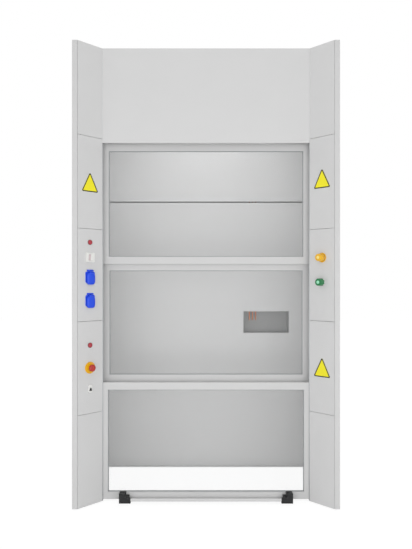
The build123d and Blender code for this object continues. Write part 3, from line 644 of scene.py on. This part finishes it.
@dataclass
class ControlTrim:
    """Small moulded trim of the controls: knob caps, rosettes, covers, lever cap and switch window."""

    seat: float = 0.0002
    steps: int = 48
    # Knobs: the caps on their ends, pale as a painted highlight, and the rings on the fascia
    gas_height: float = 1.414
    water_height: float = 1.274
    stop_height: float = 0.787
    knob_end: float = 0.0423
    cap_radius: float = 0.0095
    cap_height: float = 0.0006
    cap_flat: float = 0.93
    rosette_height: float = 0.003
    rosette_chamfer: float = 0.4
    gas_rosette: tuple[float, float] = (0.0192, 0.0275)
    stop_rosette: tuple[float, float] = (0.0292, 0.0335)
    # Sockets: up and out of each point of the hinge cover, whose ends are drawn in
    socket_heights: tuple[float, float] = (1.302, 1.169)
    cover_half_width: float = 0.021
    cover_foot: tuple[float, float] = (0.0345, 0.0436)
    cover_crown: tuple[tuple[float, float], ...] = (
        (0.0345, 0.0060),
        (0.0356, 0.0078),
        (0.0382, 0.0086),
        (0.0410, 0.0070),
        (0.0430, 0.0038),
    )
    cover_ends: tuple[tuple[float, float], ...] = (
        (-1.0, 0.75),
        (-0.9, 0.93),
        (-0.75, 1.0),
        (0.75, 1.0),
        (0.9, 0.93),
        (1.0, 0.75),
    )
    # Lids: share of the full size and height out of the fascia of each ring
    lid_half_width: float = 0.0265
    lid_half_height: float = 0.034
    lid_drop: float = 0.008
    hollow_radius: float = 0.0259
    hollow_rows: tuple[tuple[float, float], ...] = ((0.86, 0.0168), (1.0, 0.0128), (1.0, 0.0052))
    lid_rows: tuple[tuple[float, float], ...] = (
        (1.0, 0.0052),
        (1.0, 0.0100),
        (0.985, 0.0124),
        (0.95, 0.0148),
        (0.88, 0.0168),
        (0.75, 0.0184),
        (0.5, 0.0195),
        (0.2, 0.0200),
    )
    # Selector: the cap's corners, and share and lift of each ring
    lever_height: float = 0.666
    lever_pivot: float = 0.0045
    lever_tilt: float = 12.0
    lever_corners: tuple[tuple[float, float], ...] = (
        (-0.0085, -0.0090),
        (0.0085, -0.0090),
        (0.0012, 0.0090),
        (-0.0012, 0.0090),
    )
    lever_rows: tuple[tuple[float, float], ...] = ((1.0, 0.0036), (1.0, 0.0060), (0.9, 0.0068))
    # Light switch: the window on its paddle, and inset and lift of each ring
    switch_height: float = 1.415
    switch_pivot: float = 0.007
    switch_tilt: float = 5.0
    window_left: float = -0.0143
    window_right: float = 0.0005
    window_half_height: float = 0.0172
    window_rows: tuple[tuple[float, float], ...] = ((0.0, 0.0019), (0.0, 0.0022), (0.0003, 0.0024))

    def cap(self, name: str, height: float, finish: Finish, body: str) -> bpy.types.Object:
        """A thin domed disc on a knob's end, paler than the knob as a painted highlight.

        Args:
            name: the piece's name.
            height: of the knob's centre.
            finish: the disc's finish.
            body: the knob's body.

        Returns:
            The piece.
        """
        low, high = self.knob_end - self.seat, self.knob_end + self.cap_height
        outline = [
            (0.0, low, 0),
            (self.cap_radius, low, 0),
            (self.cap_radius, self.knob_end + self.cap_height / 2, 0),
            (self.cap_radius * self.cap_flat, high, 0),
            (0.0, high, 0),
        ]
        build = bmesh.new()
        revolve(build, outline, self.steps, WingFace(Wing.RIGHT).matrix(height))
        piece = new_piece(name, mesh_from(name, build), (finish,))
        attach(piece, body)
        return piece

    def rosette(self, name: str, wing: Wing, height: float, radii: tuple[float, float]) -> bpy.types.Object:
        """A yellow ring on the fascia round a round fitting.

        Args:
            name: the piece's name.
            wing: the wing that it sits on.
            height: of its centre.
            radii: inner and outer radius.

        Returns:
            The piece.
        """
        inner, outer = radii
        top = self.rosette_height
        outline = [
            (inner, self.seat, 0),
            (outer, self.seat, 0),
            (outer, top * (1 - self.rosette_chamfer), 0),
            (outer - top * self.rosette_chamfer, top, 0),
            (inner, top, 0),
            (inner, self.seat, 0),
        ]
        build = bmesh.new()
        revolve(build, outline, self.steps, WingFace(wing).matrix(height))
        piece = new_piece(name, mesh_from(name, build), (YELLOW,))
        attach(piece, "casing")
        return piece

    def hinge_cover(self, name: str, height: float) -> bpy.types.Object:
        """The moulded bump above a socket's plate that covers its hinge spring.

        Args:
            name: the piece's name.
            height: of the socket's centre.

        Returns:
            The piece.
        """
        place = WingFace(Wing.LEFT).matrix(height)
        bottom, top = self.cover_foot
        profile = [(bottom, self.seat), *self.cover_crown, (top, self.seat)]
        middle = (bottom + top) / 2
        build = bmesh.new()
        rings = []
        for share, shrink in self.cover_ends:
            x = share * self.cover_half_width
            points = [(x, middle + (y - middle) * shrink, z * shrink) for y, z in profile]
            rings.append(add_ring(build, place, points))
        bridge(build, rings, smooth=True)
        piece = new_piece(name, mesh_from(name, build), (BLUE,))
        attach(piece, "casing")
        return piece

    def lid_outline(self, share: float) -> list[tuple[float, float]]:
        """The outline of a lid's cover, a rounded oblong that reaches below the lid.

        Args:
            share: of its full size.

        Returns:
            Points round it.
        """
        points = []
        for c, s in circle(1.0, self.steps):
            x = self.lid_half_width * share * copysign(sqrt(abs(c)), c)
            y = self.lid_half_height * share * copysign(sqrt(abs(s)), s) - self.lid_drop
            points.append((x, y))
        return points

    def lid_cover(self, level: str, height: float) -> bpy.types.Object:
        """The crowned cover of a socket's lid, drawn out into a lip below, with a round hollow behind.

        Args:
            level: "upper" or "lower".
            height: of the socket's centre.

        Returns:
            The piece.
        """
        place = WingFace(Wing.LEFT).matrix(height)
        build = bmesh.new()
        rings = [
            add_ring(build, place, lifted(circle(self.hollow_radius * share, self.steps), out))
            for share, out in self.hollow_rows
        ]
        rings += [
            add_ring(build, place, lifted(self.lid_outline(share), out)) for share, out in self.lid_rows
        ]
        bridge(build, rings, smooth=True, capped=False)
        build.faces.new(rings[0])
        build.faces.new(rings[-1]).smooth = True
        name = f"socket_{level}_lid_cover"
        piece = new_piece(name, mesh_from(name, build), (BLUE,))
        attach(piece, f"socket_{level}_lid")
        return piece

    def lever_cap(self) -> bpy.types.Object:
        """The black triangular cap on the selector's lever.

        Returns:
            The piece.
        """
        tilt = Matrix.Rotation(radians(self.lever_tilt), 4, "X")
        place = WingFace(Wing.LEFT).matrix(self.lever_height, self.lever_pivot) @ tilt
        build = bmesh.new()
        rings = [
            add_ring(build, place, [(x * share, y * share, lift) for x, y in self.lever_corners])
            for share, lift in self.lever_rows
        ]
        bridge(build, rings)
        piece = new_piece("selector_lever_cap", mesh_from("selector_lever_cap", build), (BLACK,))
        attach(piece, "selector_switch_lever")
        return piece

    def switch_window(self) -> bpy.types.Object:
        """The pinkish window on the left part of the light switch's paddle, darker than the paddle as
        painted shade.

        Returns:
            The piece.
        """
        tilt = Matrix.Rotation(radians(self.switch_tilt), 4, "X")
        place = WingFace(Wing.LEFT).matrix(self.switch_height, self.switch_pivot) @ tilt
        build = bmesh.new()
        rings = []
        for inset, lift in self.window_rows:
            left, right = self.window_left + inset, self.window_right - inset
            top = self.window_half_height - inset
            corners = ((left, -top), (right, -top), (right, top), (left, top))
            rings.append(add_ring(build, place, lifted(corners, lift)))
        bridge(build, rings)
        piece = new_piece("light_switch_window", mesh_from("light_switch_window", build), (SWITCH_WINDOW_SHADE,))
        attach(piece, "light_switch_rocker")
        return piece

    def build(self) -> list[bpy.types.Object]:
        """Make all the trim.

        Returns:
            The pieces.
        """
        upper, lower = self.socket_heights
        return [
            self.cap("gas_knob_cap", self.gas_height, CAP_HIGHLIGHT_YELLOW, "gas_knob"),
            self.cap("water_knob_cap", self.water_height, CAP_HIGHLIGHT_MINT, "water_knob"),
            self.rosette("gas_valve_rosette", Wing.RIGHT, self.gas_height, self.gas_rosette),
            self.rosette("stop_switch_rosette", Wing.LEFT, self.stop_height, self.stop_rosette),
            self.hinge_cover("socket_upper_hinge_cover", upper),
            self.hinge_cover("socket_lower_hinge_cover", lower),
            self.lid_cover("upper", upper),
            self.lid_cover("lower", lower),
            self.lever_cap(),
            self.switch_window(),
        ]


@dataclass
class Cables:
    """Wire cables from the sashes over the pulleys to the weights."""

    radius: float = 0.0015
    cable_x: float = 0.617
    weight_x: float = 0.693
    pulley_z: float = 2.56
    weight_top: float = 2.5
    lug_drop: float = 0.110
    sides: int = 10
    arc_steps: int = 24

    def tube(self, build: bmesh.types.BMesh, points: list[Vector]) -> None:
        """Add a round tube along points that lie in one upright plane across the hood.

        Args:
            build: the bmesh to add to.
            points: the middle line.
        """
        across = Vector((0, 1, 0))
        rings = []
        for before, point, after in zip(points[:1] + points[:-1], points, points[1:] + points[-1:]):
            out = (after - before).normalized().cross(across)
            rings.append(
                [build.verts.new(point + across * u + out * v) for u, v in circle(self.radius, self.sides)]
            )
        bridge(build, rings, smooth=True)

    def run(self, name: str, x: float, y: float, low: float) -> bpy.types.Object:
        """One straight upright run from the pulley down to a moving body, with rings at its ends only.

        Args:
            name: the piece's name.
            x: its place to the right.
            y: its place to the back.
            low: the height of its lower end.

        Returns:
            The piece.
        """
        build = bmesh.new()
        self.tube(build, [Vector((x, y, low)), Vector((x, y, self.pulley_z))])
        piece = new_piece(name, mesh_from(name, build), (WIRE,))
        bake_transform(piece)
        return piece

    def build(self) -> list[bpy.types.Object]:
        """Make the runs and the bends of all six cables.

        Returns:
            The pieces.
        """
        pieces = []
        middle = (self.cable_x + self.weight_x) / 2
        bend = (self.weight_x - self.cable_x) / 2
        angles = [pi * k / self.arc_steps for k in range(self.arc_steps + 1)]
        for sash in SASHES:
            low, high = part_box(f"{sash}_sash_frame")
            y = (low.y + high.y) / 2
            lug_top = high.z - self.lug_drop
            build = bmesh.new()
            for wing in Wing:
                side, sx = wing.name.lower(), wing.value
                for part, x, foot, body in (
                    ("rise", self.cable_x, lug_top, f"{sash}_sash"),
                    ("drop", self.weight_x, self.weight_top, f"{sash}_weights"),
                ):
                    pieces.append(self.run(f"{sash}_cable_{part}_{side}", sx * x, y, foot))
                arc = [
                    Vector((sx * (middle - bend * cos(a)), y, self.pulley_z + bend * sin(a))) for a in angles
                ]
                self.tube(build, arc)
            over = new_piece(f"{sash}_cable_bends", mesh_from("bends", build), (WIRE,))
            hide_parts(f"{sash}_sash_cables")
            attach(over, "casing")
            pieces.append(over)
        return pieces


@dataclass
class Glazing:
    """Grey rubber strips that hold the panes in the sash frames, on both faces."""

    width: float = 0.004
    crown: float = 0.6
    stand: float = 0.004
    lap: float = 0.007
    rail: float = 0.042

    def build(self) -> list[bpy.types.Object]:
        """Make a strip all round each pane, front and back.

        Returns:
            The pieces.
        """
        pieces = []
        section = (
            (0.0, 0.0),
            (0.0, self.stand),
            (self.width * self.crown, self.stand),
            (self.width, 0.0),
        )
        for sash in SASHES:
            low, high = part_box(f"{sash}_sash_frame")
            pane_low, pane_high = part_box(f"{sash}_sash_pane")
            middle = (pane_low.y + pane_high.y) / 2
            half = (pane_high.y - pane_low.y) / 2
            build = bmesh.new()
            for sy in (-1, 1):
                rings = []
                for inset, stand in section:
                    x = pane_high.x - self.lap - inset
                    y = middle + sy * (half + stand)
                    z0 = low.z + self.rail + inset
                    z1 = high.z - self.rail - inset
                    corners = ((-x, y, z0), (x, y, z0), (x, y, z1), (-x, y, z1))
                    rings.append([build.verts.new(corner) for corner in corners])
                bridge(build, rings + rings[:1], capped=False)
            name = f"{sash}_glazing_strip"
            piece = new_piece(name, mesh_from(name, build), (GASKET,))
            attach(piece, f"{sash}_sash")
            pieces.append(piece)
        return pieces


@dataclass
class Screws:
    """Pan-head screws on the casing, instanced by Geometry Nodes on points with a direction."""

    # The head, with shares of its radius and height
    radius: float = 0.0042
    height: float = 0.0022
    steps: int = 24
    shoulder_radius: float = 0.86
    shoulder_height: float = 0.75
    recess_width: float = 0.16
    recess_reach: float = 0.62
    recess_taper: float = 0.8
    recess_floor: float = 0.35
    # Random turn of each head in radians
    spin: float = 1.5
    seed: int = 7
    # Two columns on the rear panel
    rear_x: float = 0.715
    rear_y: float = 0.4478
    rear_low: float = 0.08
    rear_high: float = 2.6
    rear_pitch: float = 0.25
    # Rows along the roof's back and front edge
    roof_left: float = -0.65
    roof_pitch: float = 0.26
    roof_count: int = 6
    roof_rows: tuple[float, float] = (0.43, -0.222)
    # A circle on the duct's flange
    flange_radius: float = 0.1375
    flange_y: float = 0.17
    flange_sheet: float = 0.002
    flange_count: int = 8

    def head(self) -> bpy.types.Object:
        """The head that is copied: a low dome with a cross recess.

        Returns:
            An object that the tree reads.
        """
        build = bmesh.new()
        here = Matrix.Identity(4)
        rim = add_ring(build, here, lifted(circle(self.radius, self.steps), 0.0))
        shoulder = circle(self.radius * self.shoulder_radius, self.steps)
        upper = add_ring(build, here, lifted(shoulder, self.height * self.shoulder_height))
        slot, reach = self.radius * self.recess_width, self.radius * self.recess_reach
        cross = []
        for quarter in range(4):
            turn = Matrix.Rotation(quarter * pi / 2, 3, "Z")
            for x, y in ((slot, slot), (slot, reach), (-slot, reach)):
                cross.append(turn @ Vector((x, y, self.height)))
        top = add_ring(build, here, cross)
        taper, floor = self.recess_taper, self.height * self.recess_floor
        sunk = add_ring(build, here, [(p.x * taper, p.y * taper, floor) for p in cross])
        bridge(build, [rim, upper], capped=False)
        bridge(build, [top, sunk], capped=False)
        build.faces.new(sunk)
        build.faces.new(rim)
        open_edges = [edge for edge in build.edges if len(edge.link_faces) == 1]
        bmesh.ops.triangle_fill(build, use_beauty=True, use_dissolve=False, edges=open_edges)
        head = bpy.data.objects.new("screw_head", mesh_from("screw_head", build))
        bpy.context.scene.collection.objects.link(head)
        return head

    def tree(self) -> bpy.types.GeometryNodeTree:
        """The tree that puts a head on each point, turned to the point's direction.

        Returns:
            The tree, with Head, Scale, Seed and Finish inputs.
        """
        tree = bpy.data.node_groups.new("screw_rows", "GeometryNodeTree")
        for name, direction, kind in (
            ("Geometry", "INPUT", "NodeSocketGeometry"),
            ("Head", "INPUT", "NodeSocketObject"),
            ("Scale", "INPUT", "NodeSocketFloat"),
            ("Seed", "INPUT", "NodeSocketInt"),
            ("Finish", "INPUT", "NodeSocketMaterial"),
            ("Geometry", "OUTPUT", "NodeSocketGeometry"),
        ):
            tree.interface.new_socket(name=name, in_out=direction, socket_type=kind)
        given = add_node(tree, "NodeGroupInput").outputs
        head = add_node(
            tree, "GeometryNodeObjectInfo", {"transform_space": "ORIGINAL"}, Object=given["Head"]
        )
        facing = add_node(
            tree, "GeometryNodeInputNamedAttribute", {"data_type": "FLOAT_VECTOR", "Name": "facing"}
        )
        aim = add_node(
            tree, "FunctionNodeAlignRotationToVector", {"axis": "Z"}, Vector=facing.outputs["Attribute"]
        )
        spin = add_node(
            tree,
            "FunctionNodeRandomValue",
            {"data_type": "FLOAT_VECTOR", 0: (0.0, 0.0, 0.0), 1: (0.0, 0.0, self.spin)},
            Seed=given["Seed"],
        )
        turn = add_node(tree, "FunctionNodeEulerToRotation", None, Euler=spin.outputs[0])
        both = add_node(
            tree,
            "FunctionNodeRotateRotation",
            {"rotation_space": "LOCAL"},
            Rotation=aim.outputs["Rotation"],
            Rotate_By=turn.outputs["Rotation"],
        )
        points = add_node(tree, "GeometryNodeMeshToPoints", None, Mesh=given["Geometry"])
        placed = add_node(
            tree,
            "GeometryNodeInstanceOnPoints",
            None,
            Points=points.outputs["Points"],
            Instance=head.outputs["Geometry"],
            Rotation=both.outputs["Rotation"],
            Scale=given["Scale"],
        )
        real = add_node(tree, "GeometryNodeRealizeInstances", None, Geometry=placed.outputs["Instances"])
        dressed = add_node(
            tree,
            "GeometryNodeSetMaterial",
            None,
            Geometry=real.outputs["Geometry"],
            Material=given["Finish"],
        )
        add_node(tree, "NodeGroupOutput", None, Geometry=dressed.outputs["Geometry"])
        return tree

    def places(self) -> list[tuple[Vector, Vector]]:
        """Where the screws sit and which way they face.

        Returns:
            Points and directions.
        """
        found = []
        back, up = Vector((0, 1, 0)), Vector((0, 0, 1))
        z = self.rear_low
        while z < self.rear_high:
            found += [(Vector((wing.value * self.rear_x, self.rear_y, z)), back) for wing in Wing]
            z += self.rear_pitch
        roof_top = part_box("roof_panel")[1].z
        for i in range(self.roof_count):
            x = self.roof_left + i * self.roof_pitch
            found += [(Vector((x, y, roof_top)), up) for y in self.roof_rows]
        flange_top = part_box("exhaust_collar")[0].z + self.flange_sheet
        for i in range(self.flange_count):
            angle = tau * (i + 0.5) / self.flange_count
            x = self.flange_radius * cos(angle)
            y = self.flange_y + self.flange_radius * sin(angle)
            found.append((Vector((x, y, flange_top)), up))
        return found

    def build(self) -> list[bpy.types.Object]:
        """Make all screw heads of the casing as one mesh.

        Returns:
            The piece.
        """
        places = self.places()
        mesh = bpy.data.meshes.new("screw_points")
        mesh.from_pydata([tuple(point) for point, _ in places], [], [])
        facing = mesh.attributes.new("facing", "FLOAT_VECTOR", "POINT")
        facing.data.foreach_set("vector", [value for _, way in places for value in way])
        holder = bpy.data.objects.new("casing_screw_points", mesh)
        bpy.context.scene.collection.objects.link(holder)
        head = self.head()
        modifier = holder.modifiers.new("rows", "NODES")
        modifier.node_group = self.tree()
        values = {"Head": head, "Scale": 1.0, "Seed": self.seed, "Finish": PLATED.build()}
        for item in modifier.node_group.interface.items_tree:
            if item.in_out == "INPUT" and item.name in values:
                modifier[item.identifier] = values[item.name]
        graph = bpy.context.evaluated_depsgraph_get()
        made = bpy.data.meshes.new_from_object(holder.evaluated_get(graph))
        bpy.data.objects.remove(holder)
        bpy.data.objects.remove(head)
        piece = new_piece("casing_screws", made, (PLATED,))
        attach(piece, "casing")
        return [piece]


@dataclass(frozen=True)
class SoftLamp:
    """A square area lamp: its place, the point it looks at, its side in metres and its watts."""

    name: str
    place: tuple[float, float, float]
    aim: tuple[float, float, float]
    size: float
    power: float

    def hang(self) -> None:
        """Add the lamp to the scene."""
        data = bpy.data.lights.new(self.name, "AREA")
        data.shape = "SQUARE"
        data.size = self.size
        data.energy = self.power
        lamp = bpy.data.objects.new(self.name, data)
        bpy.context.scene.collection.objects.link(lamp)
        lamp.location = self.place
        way = Vector(self.aim) - Vector(self.place)
        lamp.rotation_euler = way.to_track_quat("-Z", "Y").to_euler()


@dataclass
class Studio:
    """White surroundings, soft light and the photograph's camera."""

    camera_y: float = -3.614
    camera_z: float = 1.287
    lens: float = 37.1
    sensor: float = 36.0
    shift_y: float = 0.0098
    far: float = 60.0
    ambient: float = 0.78
    floor_size: float = 14.0
    floor_parts: int = 8
    floor_drop: float = 0.0006
    floor_paint: str = "FAFAFA"
    floor_white: float = 0.9
    shade: float = 0.16
    lamps: tuple[SoftLamp, ...] = (
        SoftLamp("key_lamp", (-2.0, -5.0, 1.3), (0.0, 0.0, 1.1), 3.0, 14.0),
        SoftLamp("fill_lamp", (2.0, -5.0, 1.3), (0.0, 0.0, 1.1), 3.0, 16.0),
        SoftLamp("low_lamp", (0.0, -4.2, 0.45), (0.0, 0.0, 0.45), 1.6, 26.0),
    )

    def seen(self, tree: bpy.types.NodeTree) -> bpy.types.NodeSocket:
        """Tell the rays that a viewer follows from those that light the object.

        Args:
            tree: the tree to add the nodes to.

        Returns:
            A socket that gives 1 from the camera and through glass, and 0 otherwise.
        """
        path = add_node(tree, "ShaderNodeLightPath").outputs
        return add_node(
            tree,
            "ShaderNodeMath",
            {"operation": "MAXIMUM"},
            _0=path["Is Camera Ray"],
            _1=path["Is Transmission Ray"],
        ).outputs[0]

    def world(self) -> None:
        """White to the camera and through glass, softer as light."""
        world = bpy.data.worlds.new("studio_world")
        bpy.context.scene.world = world
        world.use_nodes = True
        tree = world.node_tree
        tree.nodes.clear()
        strength = add_node(
            tree, "ShaderNodeMapRange", {"To Min": self.ambient, "To Max": 1.0}, Value=self.seen(tree)
        )
        sky = add_node(
            tree, "ShaderNodeBackground", {"Color": linear("FFFFFF")}, Strength=strength.outputs["Result"]
        )
        add_node(tree, "ShaderNodeOutputWorld", None, Surface=sky.outputs["Background"])

    def floor(self) -> None:
        """A pale floor that shows white and keeps a soft shadow."""
        build = bmesh.new()
        parts = self.floor_parts
        bmesh.ops.create_grid(build, x_segments=parts, y_segments=parts, size=self.floor_size)
        floor = new_piece("studio_floor", mesh_from("studio_floor", build), ())
        floor.location.z = -self.floor_drop
        material = bpy.data.materials.new("floor_paint")
        material.use_nodes = True
        tree = material.node_tree
        tree.nodes.clear()
        matt = add_node(tree, "ShaderNodeBsdfDiffuse", {"Color": linear(self.floor_paint)})
        grey = (self.shade, self.shade, self.shade, 1.0)
        shade = add_node(tree, "ShaderNodeBsdfDiffuse", {"Color": grey})
        white = add_node(
            tree, "ShaderNodeEmission", {"Color": linear("FFFFFF"), "Strength": self.floor_white}
        )
        shown = add_node(tree, "ShaderNodeAddShader", None, _0=shade.outputs[0], _1=white.outputs[0])
        choose = add_node(
            tree, "ShaderNodeMixShader", None, _0=self.seen(tree), _1=matt.outputs[0], _2=shown.outputs[0]
        )
        add_node(tree, "ShaderNodeOutputMaterial", None, Surface=choose.outputs[0])
        floor.data.materials.append(material)

    def camera(self) -> None:
        """The photograph's camera: level, straight in front, a little under half way up."""
        data = bpy.data.cameras.new("photo_camera")
        data.lens = self.lens
        data.sensor_width = self.sensor
        data.sensor_fit = "AUTO"
        data.shift_y = self.shift_y
        data.clip_end = self.far
        camera = bpy.data.objects.new("photo_camera", data)
        bpy.context.scene.collection.objects.link(camera)
        camera.location = (0.0, self.camera_y, self.camera_z)
        camera.rotation_euler = (radians(90), 0.0, 0.0)
        bpy.context.scene.camera = camera

    def build(self) -> None:
        """Set up all of it."""
        self.world()
        self.floor()
        for lamp in self.lamps:
            lamp.hang()
        self.camera()
        bpy.context.scene.view_settings.view_transform = "Standard"


def main() -> None:
    """Load the frame, dress it and set up the studio."""
    logging.basicConfig(level=logging.INFO, format="%(message)s")
    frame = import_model()
    Studio().build()
    dress_nodes(frame["nodes"])
    for group in (Signs(), IndicatorLamps(), ControlTrim(), Cables(), Glazing(), Screws()):
        for piece in group.build():
            LOG.info("%s: %d faces", piece.name, len(piece.data.polygons))


if __name__ == "__main__":
    main()
